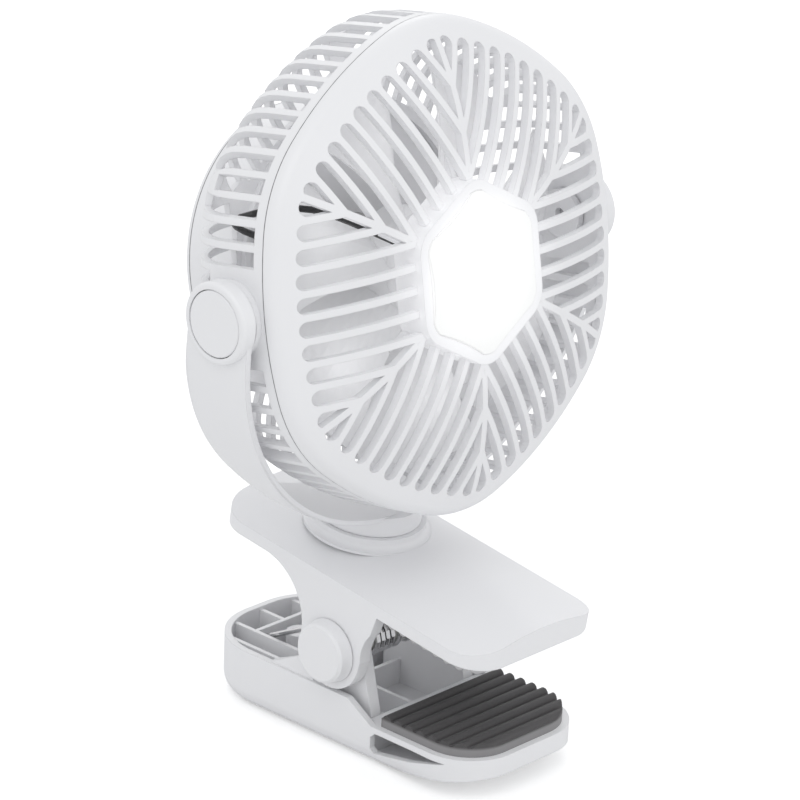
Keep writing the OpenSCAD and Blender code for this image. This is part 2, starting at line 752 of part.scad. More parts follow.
module yoke() {
    color("white") in_upper() difference() {
        union() {
            intersection() {
                union() {
                    translate([0, 0, -band_drop])
                        rotate([90, 0, 0])
                            rotate([0, 0, 180]) rotate_extrude(angle = 180, $fn = 360) band_section();
                    for (side = [-1, 1]) translate([side < 0 ? -band_outer : band_inner, -yoke_width / 2, -band_drop - 1])
                        cube([yoke_wall, yoke_width, band_drop + 1]);
                }
                across(-band_outer - 1, band_outer + 1) polygon([[-arm_front, 1], [-yoke_width / 2 - 0.1, foot_z],
                    [-yoke_width / 2 - 0.1, foot_z - 9], [yoke_width / 2 + 0.1, foot_z - 9], [yoke_width / 2 + 0.1, -24],
                    [boss_radius - 0.2, 1]]);
            }
            for (side = [-1, 1]) along_x(side) end_boss();
            translate([0, 0, foot_z]) cylinder(r = foot_radius, h = 7, $fn = 128);
            translate([0, 0, boss_under_z - 0.2]) cylinder(r = spigot_radius, h = foot_z - boss_under_z + 0.5);
        }
        translate([0, 30, -band_drop]) rotate([90, 0, 0]) cylinder(r = band_inner, h = 60, $fn = 360);
        for (side = [-1, 1]) along_x(side) {
            cylinder(r = stub_radius + turn_gap, h = 100);
            translate([0, 0, recess_x]) cylinder(r = recess_radius, h = 20);
        }
        translate([0, 0, boss_under_z - 1]) cylinder(r = 1.5, h = 12, $fn = 32);
    }
}

module pivot_cap(side) {
    round_r = 0.6;
    deep = yoke_end_x - recess_x;
    color("white") in_upper() along_x(side) translate([0, 0, recess_x]) difference() {
        rotate_extrude() {
            square([cap_radius, deep - round_r]);
            square([cap_radius - round_r, deep]);
            translate([cap_radius - round_r, deep - round_r]) circle(round_r, $fn = 32);
        }
        translate([0, 0, -1]) cylinder(r = cap_radius - 1.6, h = deep - 1.4 + 1);
    }
}

module pivot_cap_left() { pivot_cap(-1); }
module pivot_cap_right() { pivot_cap(1); }

module swivel_retainer() {
    color("silver") in_upper() translate([0, 0, boss_under_z - 0.2 - retainer_thick]) difference() {
        cylinder(r = spigot_radius + 4, h = retainer_thick);
        translate([0, 0, -1]) cylinder(r = 1.5, h = 5, $fn = 32);
    }
}

module swivel_screw() {
    color("silver") in_upper() translate([0, 0, boss_under_z - 0.2 - retainer_thick]) {
        translate([0, 0, -1.6]) cylinder(r = 3.6, h = 1.6, $fn = 48);
        cylinder(r = 1.5, h = 11, $fn = 32);
    }
}

// ---------- upper jaw ----------

// Ear plan, x = forward from the hinge, y = up from it
module ear_plan() {
    up = hinge_drop + upper_skirt_z + 3;
    difference() {
        polygon([[-ear_radius, 0], [-ear_radius - 21, up - 3], [-ear_radius - 21, up], [ear_radius + 5, up], [ear_radius, 0]]);
        translate([-ear_radius - 21, up - 3 - 21]) circle(21, $fn = 120);
        translate([ear_radius + 16, 4.5]) circle(16);
    }
    circle(ear_radius);
}

// Solid under the crown of the upper jaw, moved in by inset
module crowned_plate(inset, base) {
    intersection() {
        translate([0, 0, base]) linear_extrude(jaw_top_z - base + 1)
            plate_plan(jaw_width / 2, upper_front_y, upper_back_y, upper_round, upper_round, inset);
        translate([0, upper_back_y + 10, jaw_top_z - jaw_crown])
            rotate([90, 0, 0]) cylinder(r = jaw_crown - inset, h = upper_length + 20, $fn = 720);
    }
}

module upper_jaw() {
    half = jaw_width / 2;
    inner = [half - jaw_wall - 0.05, upper_front_y + jaw_wall + 0.05, upper_back_y - jaw_wall - 0.05];
    color("white") in_upper() difference() {
        union() {
            difference() {
                crowned_plate(0, upper_skirt_z);
                crowned_plate(jaw_wall, upper_skirt_z - 1);
            }
            // collar, with a fillet into the plate, and the boss under it
            translate([0, 0, jaw_top_z]) rotate_extrude($fn = 128) {
                translate([0, -1]) square([collar_radius, foot_z - jaw_top_z + 1 - 0.15]);
                difference() {
                    translate([0, -1]) square([collar_radius + 2.4, 3]);
                    translate([collar_radius + 2.4, 2.4]) circle(2.4, $fn = 48);
                }
            }
            translate([0, 0, boss_under_z]) cylinder(r = spigot_radius + 5, h = 3);
            // ribs inside
            intersection() {
                union() {
                    for (x = [-12, 12]) translate([x - 0.8, inner[1], upper_skirt_z + 1.5])
                        cube([1.6, inner[2] - inner[1], 12]);
                    for (y = [-44, 24]) translate([-inner[0], y - 0.8, upper_skirt_z + 1.5]) cube([2 * inner[0], 1.6, 12]);
                }
                crowned_plate(jaw_wall - 0.1, upper_skirt_z);
            }
            // ears that carry the hinge pin
            for (side = [-1, 1])
                translate([side < 0 ? -half : ear_inner_x, -hinge_fwd, -hinge_drop])
                    rotate([90, 0, 90]) linear_extrude(half - ear_inner_x) mirror([1, 0]) ear_plan();
        }
        translate([0, 0, boss_under_z - 1]) cylinder(r = spigot_radius + turn_gap, h = 20);
        translate([0, 0, boss_under_z - 9]) cylinder(r = spigot_radius + 5, h = 9);
        translate([-half - 1, -hinge_fwd, -hinge_drop])
            rotate([0, 90, 0]) cylinder(r = pin_radius + turn_gap, h = jaw_width + 2);
    }
}

// A rubber pad with ribs across it: its back at z = 0, its ribs upwards
module ribbed_pad(half_x, front_y, round_r, thick, rib_out) {
    length = pad_ribs * pad_rib_pitch;
    intersection() {
        union() {
            translate([-half_x, front_y, 0]) cube([2 * half_x, length, thick]);
            for (i = [0 : pad_ribs - 1])
                translate([-half_x, front_y + (i + 0.5) * pad_rib_pitch, thick + rib_out - pad_rib_radius])
                    rotate([0, 90, 0]) cylinder(r = pad_rib_radius, h = 2 * half_x, $fn = 32);
        }
        linear_extrude(20) plate_plan(half_x, front_y, front_y + length + round_r, round_r, round_r);
    }
}

module upper_pad() {
    half = jaw_width / 2 - jaw_wall - 0.1;
    rest = upper_skirt_z + 2.6;
    color("dimgray") in_upper() difference() {
        translate([0, 0, rest]) mirror([0, 0, 1])
            ribbed_pad(half, upper_front_y + jaw_wall + 0.1, upper_round - jaw_wall, pad_thick + 0.9, 1.1);
        for (x = [-12, 12]) translate([x - 0.9, -100, rest - 1.2]) cube([1.8, 200, 5]);
        translate([-half - 1, -44.9, rest - 1.2]) cube([2 * half + 2, 1.8, 5]);
    }
}

// ---------- lower jaw ----------

module tub_section(inset) {
    edge = $span - inset;
    bend = $span - lower_fillet;
    translate([0, inset]) square([bend, rim_height + 1]);
    intersection() {
        translate([bend, 0]) square([lower_fillet, lower_fillet]);
        translate([bend, lower_fillet]) circle(lower_fillet - inset, $fn = 64);
    }
    translate([bend, lower_fillet]) square([edge - bend, rim_height + 1 - lower_fillet + inset]);
}

// Lug plan, x = forward from the hinge, y = up from it
module lug_plan() {
    circle(lug_radius);
    polygon([[-26, -hinge_z + 12], [-lug_radius + 0.5, 3], [lug_radius, 0], [15, -hinge_z + 12]]);
}

// Plan of the lower jaw, moved in by inset
module lower_plan(inset) {
    plate_plan(lower_half, lower_front_y, lower_back_y, lower_round, lower_back_round, inset);
}

// The tub before it is hollowed
module tub_outer() {
    round_plate(lower_half, lower_front_y, lower_back_y, lower_round, lower_back_round) tub_section(0);
    linear_extrude(rim_height) lower_plan(lower_fillet);
}

// The tub: low at the front, with its underside rising there and a notch in each side
module lower_tub() {
    far = jaw_width;
    difference() {
        union() {
            round_plate(lower_half, lower_front_y, lower_back_y, lower_round, lower_back_round) difference() {
                tub_section(0);
                tub_section(jaw_wall);
            }
            linear_extrude(jaw_wall) lower_plan(lower_fillet);
        }
        across(-far, far) polygon(concat([[keel[0][0], -1]], keel, [[keel[3][0], -1]]));
        across(-far, far) polygon([[lower_back_y + 1, rim_height], [lower_back_y + 1, rim_height + 9],
            [lower_front_y - 1, rim_height + 9], [lower_front_y - 1, shelf_height], [-12, shelf_height], [-1, rim_height]]);
        for (side = [-1, 1]) across(side < 0 ? -far : lower_half - jaw_wall - 0.5, side < 0 ? -lower_half + jaw_wall + 0.5 : far)
            polygon([[lower_front_y + 12.5, shelf_height - 2.4], [lower_front_y + 27, shelf_height - 2.1],
                [-14, shelf_height - 2.1], [-12, shelf_height - 4], [-12, 6.4], [-13.5, 5], [lower_front_y + 27, 7.9]]);
    }
    intersection() {
        tub_outer();
        across(-far, far) polygon(concat(keel, [for (k = [3 : -1 : 0]) keel[k] + [0, jaw_wall]]));
    }
}

module lower_jaw() {
    half = lower_half;
    wall = jaw_wall;
    color("white") difference() {
        union() {
            lower_tub();
            // shelf under the pad and the wall that closes it
            translate([0, 0, shelf_height - shelf_thick]) linear_extrude(shelf_thick) intersection() {
                lower_plan(wall - 0.05);
                translate([-50, lower_front_y]) square([100, shelf_back_y - lower_front_y]);
            }
            translate([-half + wall - 0.05, shelf_back_y - 2, wall - 0.05])
                cube([2 * (half - wall) + 0.1, 2, shelf_height - wall - 1]);
            // ribs of the open tray and the post in it
            intersection() {
                linear_extrude(rim_height - 1) lower_plan(wall - 0.05);
                translate([0, 0, wall - 0.05]) {
                    for (x = [-23.7, -14, 14, 23.7]) translate([x - 0.8, 34, 0]) cube([1.6, 50, 30]);
                    translate([-14, 57.5, 0]) cube([28, 1.6, 30]);
                    translate([-0.8, 58, 0]) cube([1.6, 30, 30]);
                    translate([0, 50.5, 0]) cylinder(r = 5, h = 16, $fn = 64);
                }
            }
            translate([-0.8, shelf_back_y - 1, wall - 0.05]) cube([1.6, 57, 8]);
            for (y = [22, 34]) translate([-half + wall - 0.05, y, wall - 0.05])
                cube([2 * (half - wall) + 0.1, 1.6, 9]);
            // lugs that carry the hinge pin, with a shoulder to the side walls
            for (side = [-1, 1]) {
                translate([side < 0 ? -lug_x : lug_x - lug_thick, hinge_y, hinge_z])
                    rotate([90, 0, 90]) linear_extrude(lug_thick) mirror([1, 0]) lug_plan();
                translate([side < 0 ? -lug_x : lug_x - lug_thick, -8, wall - 0.05])
                    cube([lug_thick, 38, 10.2]);
            }
            for (x = [0, 1]) mirror([x, 0, 0]) difference() {
                intersection() {
                    translate([0, 38, 0]) rotate([90, 0, 0]) linear_extrude(26) polygon([[half - 0.6, rim_height - 6],
                        [half - 0.6, rim_height - 0.6], [lug_x - 0.4, rim_height + 6], [lug_x - 0.4, rim_height - 6]]);
                    across(lug_x - 1, half) polygon([[38, rim_height - 2], [38, rim_height - 1], [24, rim_height + 5.4],
                        [16, rim_height + 5.4], [16, rim_height - 2]]);
                }
                translate([lug_x, hinge_y, hinge_z]) rotate([0, 90, 0]) cylinder(r = ear_radius + 0.6, h = 20);
            }
        }
        translate([-half - 1, hinge_y, hinge_z]) rotate([0, 90, 0]) cylinder(r = pin_radius, h = jaw_width + 2);
    }
}

module lower_pad() {
    color("dimgray") translate([0, 0, shelf_height])
        ribbed_pad(lower_half - pad_inset, lower_front_y + pad_inset, lower_round - pad_inset, pad_thick, 1.6);
}

module hinge_pin() {
    reach = jaw_width / 2 + face_gap + cap_out - 2;
    color("silver") translate([-reach, hinge_y, hinge_z])
        rotate([0, 90, 0]) cylinder(r = pin_radius, h = 2 * reach);
}

module hinge_cap(side) {
    base = jaw_width / 2 + face_gap;
    color("white") translate([0, hinge_y, hinge_z]) along_x(side) translate([0, 0, base]) difference() {
        rotate_extrude() {
            polygon([[0, 0], [cap_base_radius, 0], [cap_face_radius + 0.3, cap_out - 1], [cap_face_radius - 0.7, cap_out],
                [0, cap_out]]);
        }
        translate([0, 0, -1]) cylinder(r = pin_radius, h = cap_out - 2 + 1);
    }
}

module hinge_cap_left() { hinge_cap(-1); }
module hinge_cap_right() { hinge_cap(1); }

module pin_sleeve() {
    reach = lug_x - lug_thick;
    color("gainsboro") translate([-reach, hinge_y, hinge_z]) rotate([0, 90, 0]) difference() {
        cylinder(r = sleeve_radius, h = 2 * reach);
        translate([0, 0, -1]) cylinder(r = pin_radius + 0.02, h = 2 * reach + 2);
    }
}

// Coil of one side, running out into the leg that reaches the back of the lower jaw
function coil_points(side) =
    let (steps = 16, n = coil_turns * steps + 1, x = side * (coil_start_x + coil_pitch * n / steps))
    concat(
        [for (i = [0 : n])
            let (a = 90 - 360 * i / steps)
            [side * (coil_start_x + coil_pitch * i / steps), hinge_y + coil_radius * cos(a), hinge_z + coil_radius * sin(a)]],
        [[x, hinge_y + 20, hinge_z - 3], [side * 10.8, 55.4, rim_height - 3]]);

module clamp_spring() {
    color("silver") for (side = [-1, 1]) tube(coil_points(side), wire_radius, 8);
}

// The two inner half turns of the spring and the bow that lifts the upper jaw
module spring_arm() {
    x = coil_start_x - 2 * wire_radius - 0.35;
    y = arm_tip[0];
    z = arm_tip[1];
    function turn(side, angles) =
        [for (a = angles) [side * x, hinge_y + coil_radius * cos(a), hinge_z + coil_radius * sin(a)]];
    color("silver") tube(concat(
        turn(-1, [-233 : 20 : -53]),
        [[-x, y - 2, z - 1.4], [-x + 0.6, y - 0.5, z - 0.35], [-x + 2, y, z], [x - 2, y, z], [x - 0.6, y - 0.5, z - 0.35],
         [x, y - 2, z - 1.4]],
        turn(1, [-53 : -20 : -233])), wire_radius, 8);
}

front_grille();
lamp_lens();
led_board();
led_lead();
fan_impeller();
motor_shaft();
motor_body();
rear_shell();
battery_case();
battery_cells();
main_board();
usb_port();
back_cover();
cover_screws();
charge_lights();
fan_button();
light_button();
pivot_stub_left();
pivot_stub_right();
pivot_screw_left();
pivot_screw_right();
friction_washer_left();
friction_washer_right();
yoke();
pivot_cap_left();
pivot_cap_right();
swivel_retainer();
swivel_screw();
upper_jaw();
upper_pad();
lower_jaw();
lower_pad();
hinge_pin();
hinge_cap_left();
hinge_cap_right();
pin_sleeve();
clamp_spring();
spring_arm();
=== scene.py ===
"""Portable camping fan with a lamp in its grille, on a sprung clamp."""

import math

import bmesh
import bpy
from mathutils import Matrix, Vector


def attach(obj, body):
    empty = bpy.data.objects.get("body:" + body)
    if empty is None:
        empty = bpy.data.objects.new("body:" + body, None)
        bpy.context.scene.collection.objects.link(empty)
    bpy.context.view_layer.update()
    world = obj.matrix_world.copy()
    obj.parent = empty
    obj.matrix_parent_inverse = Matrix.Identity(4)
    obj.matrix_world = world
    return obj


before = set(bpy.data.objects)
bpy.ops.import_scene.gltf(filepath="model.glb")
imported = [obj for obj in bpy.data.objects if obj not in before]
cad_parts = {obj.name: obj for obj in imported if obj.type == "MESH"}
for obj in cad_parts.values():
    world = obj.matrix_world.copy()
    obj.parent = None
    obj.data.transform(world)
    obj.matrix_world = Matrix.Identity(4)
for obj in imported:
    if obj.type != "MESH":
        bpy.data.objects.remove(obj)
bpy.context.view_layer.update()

# Frames of the parts, as the CAD has them, in metres and radians
LEAN = math.radians(8)
TILT = math.radians(17.5)
HINGE = Vector((0, 0.007, 0.036))
UPPER = Matrix.Translation(HINGE) @ Matrix.Rotation(LEAN, 4, "X") @ Matrix.Translation((0, 0.0185, 0.1276))
HEAD = UPPER @ Matrix.Rotation(math.pi / 2 - TILT, 4, "X")


# ---------- camera, light and floor ----------

CAMERA_PLACE = (-0.970013, -0.884542, 0.639392)
CAMERA_TURN = (1.192877, -0.039666, -0.810867)
LENS_MM, SENSOR_MM = 193.967, 36
# strength of the world where it is seen, and where it lights the fan
BACKDROP, FILL = 1, 0.86
FLOOR_DROP, FLOOR_HALF = 0.0002, 4
FLOOR_PAINT, FLOOR_SHINE = 0.86, 0.35
# name, place, width and watts of each large lamp, and the point that all of them face
LARGE_LAMPS = (("key", (-0.9, -0.5, 1.5), 1.1, 3.3),
               ("front", (0.5, -1.5, 0.9), 1.2, 1.7),
               ("rim", (0.9, 0.9, 1.1), 0.9, 2.2))
AIM = Vector((0, 0, 0.15))
# depth, radius and watts of each ring of weak lamps in the head: one before and one behind the blades
STRAY_RINGS = ((0.0145, 0.047, 0.0024), (-0.016, 0.060, 0.0017))
STRAY_COUNT, STRAY_SIZE = 6, 0.012


def make_camera():
    data = bpy.data.cameras.new("camera")
    data.lens = LENS_MM
    data.sensor_width = SENSOR_MM
    data.clip_start = 0.1
    data.clip_end = 20
    camera = bpy.data.objects.new("camera", data)
    camera.location = CAMERA_PLACE
    camera.rotation_euler = CAMERA_TURN
    bpy.context.collection.objects.link(camera)
    bpy.context.scene.camera = camera


def lamp_object(name, kind, watts, place):
    data = bpy.data.lights.new(name, kind)
    data.energy = watts
    lamp = bpy.data.objects.new(name, data)
    lamp.location = place
    bpy.context.collection.objects.link(lamp)
    return lamp


def make_lamps():
    for name, place, size, watts in LARGE_LAMPS:
        lamp = lamp_object(name, "AREA", watts, place)
        lamp.data.shape = "DISK"
        lamp.data.size = size
        lamp.rotation_euler = (AIM - Vector(place)).to_track_quat("-Z", "Y").to_euler()


def make_stray_light():
    """The lamp's stray light inside the head."""
    for depth, radius, watts in STRAY_RINGS:
        for turn in range(STRAY_COUNT):
            angle = math.tau * (turn + 0.5) / STRAY_COUNT
            place = HEAD @ Vector((radius * math.cos(angle), radius * math.sin(angle), depth))
            lamp = lamp_object("stray_light", "POINT", watts, place)
            lamp.data.shadow_soft_size = STRAY_SIZE
            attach(lamp, "head")


def make_world():
    """White where it is seen, also in metal and glass; a little less where it lights the fan."""
    world = bpy.data.worlds.new("studio")
    world.use_nodes = True
    nodes, links = world.node_tree.nodes, world.node_tree.links
    nodes.clear()
    out = nodes.new("ShaderNodeOutputWorld")
    seen = nodes.new("ShaderNodeBackground")
    seen.inputs["Color"].default_value = (1, 1, 1, 1)
    seen.inputs["Strength"].default_value = BACKDROP
    fill = nodes.new("ShaderNodeBackground")
    fill.inputs["Color"].default_value = (0.98, 0.99, 1, 1)
    fill.inputs["Strength"].default_value = FILL
    rays = nodes.new("ShaderNodeLightPath")
    two = nodes.new("ShaderNodeMath")
    three = nodes.new("ShaderNodeMath")
    two.operation = three.operation = "MAXIMUM"
    mix = nodes.new("ShaderNodeMixShader")
    links.new(rays.outputs["Is Camera Ray"], two.inputs[0])
    links.new(rays.outputs["Is Glossy Ray"], two.inputs[1])
    links.new(two.outputs[0], three.inputs[0])
    links.new(rays.outputs["Is Transmission Ray"], three.inputs[1])
    links.new(three.outputs[0], mix.inputs[0])
    links.new(fill.outputs[0], mix.inputs[1])
    links.new(seen.outputs[0], mix.inputs[2])
    links.new(mix.outputs[0], out.inputs[0])
    bpy.context.scene.world = world


def make_floor():
    """Takes the fan's shadow, and is lifted to white where the camera sees it lit."""
    mesh = bpy.data.meshes.new("floor")
    bm = bmesh.new()
    bmesh.ops.create_grid(bm, x_segments=1, y_segments=1, size=FLOOR_HALF)
    bm.to_mesh(mesh)
    bm.free()
    floor = bpy.data.objects.new("floor", mesh)
    floor.location = (0, 0, -FLOOR_DROP)
    bpy.context.collection.objects.link(floor)
    material = bpy.data.materials.new("pale_floor")
    material.use_nodes = True
    nodes, links = material.node_tree.nodes, material.node_tree.links
    nodes.clear()
    out = nodes.new("ShaderNodeOutputMaterial")
    paint = nodes.new("ShaderNodeBsdfDiffuse")
    paint.inputs["Color"].default_value = (FLOOR_PAINT, FLOOR_PAINT, FLOOR_PAINT, 1)
    shine = nodes.new("ShaderNodeEmission")
    shine.inputs["Color"].default_value = (1, 1, 1, 1)
    shine.inputs["Strength"].default_value = FLOOR_SHINE
    add = nodes.new("ShaderNodeAddShader")
    rays = nodes.new("ShaderNodeLightPath")
    mix = nodes.new("ShaderNodeMixShader")
    links.new(paint.outputs[0], add.inputs[0])
    links.new(shine.outputs[0], add.inputs[1])
    links.new(rays.outputs["Is Camera Ray"], mix.inputs[0])
    links.new(paint.outputs[0], mix.inputs[1])
    links.new(add.outputs[0], mix.inputs[2])
    links.new(mix.outputs[0], out.inputs[0])
    mesh.materials.append(material)


make_camera()
make_world()
make_floor()
make_lamps()
make_stray_light()


# ---------- shared effects ----------

def new_group(name, ins, outs):
    """An empty node group with these sockets, and the nodes that stand for its inputs and outputs."""
    group = bpy.data.node_groups.new(name, "ShaderNodeTree")
    for label, kind, value in ins:
        socket = group.interface.new_socket(label, in_out="INPUT", socket_type=kind)
        socket.default_value = value
    for label, kind in outs:
        group.interface.new_socket(label, in_out="OUTPUT", socket_type=kind)
    return group, group.nodes.new("NodeGroupInput"), group.nodes.new("NodeGroupOutput")


def moulded_skin():
    """Fine tool texture, soft edges and a slow drift of tone, as on moulded plastic."""
    group, given, out = new_group(
        "moulded_skin",
        [("Colour", "NodeSocketColor", (0.8, 0.8, 0.8, 1)), ("Drift", "NodeSocketFloat", 0.02),
         ("Roughness", "NodeSocketFloat", 0.4), ("Grain Scale", "NodeSocketFloat", 2600.0),
         ("Grain Depth", "NodeSocketFloat", 0.05), ("Edge Radius", "NodeSocketFloat", 0.0004)],
        [("Colour", "NodeSocketColor"), ("Roughness", "NodeSocketFloat"), ("Normal", "NodeSocketVector")])
    nodes, links = group.nodes, group.links
    place = nodes.new("ShaderNodeTexCoord")
    slow = nodes.new("ShaderNodeTexNoise")
    slow.inputs["Scale"].default_value = 22
    slow.inputs["Detail"].default_value = 3
    fine = nodes.new("ShaderNodeTexNoise")
    fine.inputs["Detail"].default_value = 2
    span = nodes.new("ShaderNodeMapRange")
    span.inputs["To Min"].default_value = -1
    span.inputs["To Max"].default_value = 1
    drift = nodes.new("ShaderNodeMath")
    drift.operation = "MULTIPLY_ADD"
    drift.inputs[2].default_value = 1
    tone = nodes.new("ShaderNodeVectorMath")
    tone.operation = "SCALE"
    rough = nodes.new("ShaderNodeMath")
    rough.operation = "ADD"
    rough_span = nodes.new("ShaderNodeMath")
    rough_span.operation = "MULTIPLY"
    rough_span.inputs[1].default_value = 0.06
    bevel = nodes.new("ShaderNodeBevel")
    bevel.samples = 6
    bump = nodes.new("ShaderNodeBump")
    bump.inputs["Distance"].default_value = 0.00004
    links.new(place.outputs["Object"], slow.inputs["Vector"])
    links.new(place.outputs["Object"], fine.inputs["Vector"])
    links.new(given.outputs["Grain Scale"], fine.inputs["Scale"])
    links.new(slow.outputs["Fac"], span.inputs["Value"])
    links.new(span.outputs["Result"], drift.inputs[0])
    links.new(given.outputs["Drift"], drift.inputs[1])
    links.new(given.outputs["Colour"], tone.inputs[0])
    links.new(drift.outputs[0], tone.inputs["Scale"])
    links.new(tone.outputs[0], out.inputs["Colour"])
    links.new(span.outputs["Result"], rough_span.inputs[0])
    links.new(rough_span.outputs[0], rough.inputs[0])
    links.new(given.outputs["Roughness"], rough.inputs[1])
    links.new(rough.outputs[0], out.inputs["Roughness"])
    links.new(given.outputs["Edge Radius"], bevel.inputs["Radius"])
    links.new(bevel.outputs["Normal"], bump.inputs["Normal"])
    links.new(fine.outputs["Fac"], bump.inputs["Height"])
    links.new(given.outputs["Grain Depth"], bump.inputs["Strength"])
    links.new(bump.outputs["Normal"], out.inputs["Normal"])
    return group


def plane_band():
    """1 on a plane through Centre across Axis, falling to 0 at Half Width from it."""
    group, given, out = new_group(
        "plane_band",
        [("Centre", "NodeSocketVector", (0, 0, 0)), ("Axis", "NodeSocketVector", (0, 0, 1)),
         ("Half Width", "NodeSocketFloat", 0.001), ("Soft", "NodeSocketFloat", 0.3)],
        [("Mask", "NodeSocketFloat")])
    nodes, links = group.nodes, group.links
    place = nodes.new("ShaderNodeTexCoord")
    offset = nodes.new("ShaderNodeVectorMath")
    offset.operation = "SUBTRACT"
    along = nodes.new("ShaderNodeVectorMath")
    along.operation = "DOT_PRODUCT"
    away = nodes.new("ShaderNodeMath")
    away.operation = "ABSOLUTE"
    inner = nodes.new("ShaderNodeMath")
    inner.operation = "MULTIPLY"
    fall = nodes.new("ShaderNodeMapRange")
    fall.interpolation_type = "SMOOTHSTEP"
    fall.inputs["To Min"].default_value = 1
    fall.inputs["To Max"].default_value = 0
    links.new(place.outputs["Object"], offset.inputs[0])
    links.new(given.outputs["Centre"], offset.inputs[1])
    links.new(offset.outputs[0], along.inputs[0])
    links.new(given.outputs["Axis"], along.inputs[1])
    links.new(along.outputs["Value"], away.inputs[0])
    links.new(given.outputs["Half Width"], inner.inputs[0])
    links.new(given.outputs["Soft"], inner.inputs[1])
    links.new(away.outputs[0], fall.inputs["Value"])
    links.new(inner.outputs[0], fall.inputs["From Min"])
    links.new(given.outputs["Half Width"], fall.inputs["From Max"])
    links.new(fall.outputs["Result"], out.inputs["Mask"])
    return group


def round_glow():
    """Outer past Far from a line through Centre along Axis, rising to Inner within Near of it."""
    group, given, out = new_group(
        "round_glow",
        [("Centre", "NodeSocketVector", (0, 0, 0)), ("Axis", "NodeSocketVector", (0, 0, 1)),
         ("Near", "NodeSocketFloat", 0.01), ("Far", "NodeSocketFloat", 0.03),
         ("Outer", "NodeSocketFloat", 0.0), ("Inner", "NodeSocketFloat", 1.0)],
        [("Glow", "NodeSocketFloat")])
    nodes, links = group.nodes, group.links
    place = nodes.new("ShaderNodeTexCoord")
    offset = nodes.new("ShaderNodeVectorMath")
    offset.operation = "SUBTRACT"
    across = nodes.new("ShaderNodeVectorMath")
    across.operation = "CROSS_PRODUCT"
    away = nodes.new("ShaderNodeVectorMath")
    away.operation = "LENGTH"
    near = nodes.new("ShaderNodeMapRange")
    near.inputs["To Min"].default_value = 1
    near.inputs["To Max"].default_value = 0
    square = nodes.new("ShaderNodeMath")
    square.operation = "POWER"
    square.inputs[1].default_value = 2
    span = nodes.new("ShaderNodeMapRange")
    links.new(place.outputs["Object"], offset.inputs[0])
    links.new(given.outputs["Centre"], offset.inputs[1])
    links.new(offset.outputs[0], across.inputs[0])
    links.new(given.outputs["Axis"], across.inputs[1])
    links.new(across.outputs[0], away.inputs[0])
    links.new(away.outputs["Value"], near.inputs["Value"])
    links.new(given.outputs["Near"], near.inputs["From Min"])
    links.new(given.outputs["Far"], near.inputs["From Max"])
    links.new(near.outputs["Result"], square.inputs[0])
    links.new(square.outputs[0], span.inputs["Value"])
    links.new(given.outputs["Outer"], span.inputs["To Min"])
    links.new(given.outputs["Inner"], span.inputs["To Max"])
    links.new(span.outputs["Result"], out.inputs["Glow"])
    return group


SKIN = moulded_skin()
BAND = plane_band()
GLOW = round_glow()


def group_node(nodes, group, **sockets):
    """A use of a node group, with its inputs set by name."""
    node = nodes.new("ShaderNodeGroup")
    node.node_tree = group
    for label, value in sockets.items():
        node.inputs[label.replace("_", " ")].default_value = value
    return node


def finish(name, colour, roughness=0.42, drift=0.012, grain=2600.0, depth=0.06, edge=0.0004, metallic=0.0):
    """A plastic, rubber or metal with the fine texture of its skin."""
    material = bpy.data.materials.new(name)
    material.use_nodes = True
    nodes, links = material.node_tree.nodes, material.node_tree.links
    shader = nodes["Principled BSDF"]
    shader.inputs["Metallic"].default_value = metallic
    skin = group_node(nodes, SKIN, Colour=(*colour, 1), Drift=drift, Roughness=roughness, Grain_Scale=grain,
                      Grain_Depth=depth, Edge_Radius=edge)
    links.new(skin.outputs["Colour"], shader.inputs["Base Color"])
    links.new(skin.outputs["Roughness"], shader.inputs["Roughness"])
    links.new(skin.outputs["Normal"], shader.inputs["Normal"])
    return material


def banded(material, colour, centre, axis, half_width, soft=0.3, groove=0.0):
    """Paints a band of shading across a finish, and sinks the band as a groove."""
    nodes, links = material.node_tree.nodes, material.node_tree.links
    shader = nodes["Principled BSDF"]
    skin = next(node for node in nodes if node.type == "GROUP" and node.node_tree == SKIN)
    band = group_node(nodes, BAND, Centre=centre, Axis=axis, Half_Width=half_width, Soft=soft)
    blend = nodes.new("ShaderNodeMix")
    blend.data_type = "RGBA"
    blend.inputs["A"].default_value = skin.inputs["Colour"].default_value
    blend.inputs["B"].default_value = (*colour, 1)
    links.new(band.outputs["Mask"], blend.inputs["Factor"])
    links.new(next(o for o in blend.outputs if o.type == "RGBA"), skin.inputs["Colour"])
    if groove:
        dip = nodes.new("ShaderNodeBump")
        dip.invert = True
        dip.inputs["Distance"].default_value = groove
        links.new(band.outputs["Mask"], dip.inputs["Height"])
        links.new(skin.outputs["Normal"], dip.inputs["Normal"])
        links.new(dip.outputs["Normal"], shader.inputs["Normal"])
    return material


def lit(material, centre, axis, near, far, outer, inner):
    """Lets a finish give light round a line: inner near it, outer far from it. On the lamp lens this is the
    lamp's own light; on the grille it is a painted halo.
    """
    nodes, links = material.node_tree.nodes, material.node_tree.links
    shader = nodes["Principled BSDF"]
    glow = group_node(nodes, GLOW, Centre=centre, Axis=axis, Near=near, Far=far, Outer=outer, Inner=inner)
    shader.inputs["Emission Color"].default_value = (1, 1, 1, 1)
    links.new(glow.outputs["Glow"], shader.inputs["Emission Strength"])


# ---------- finishes ----------

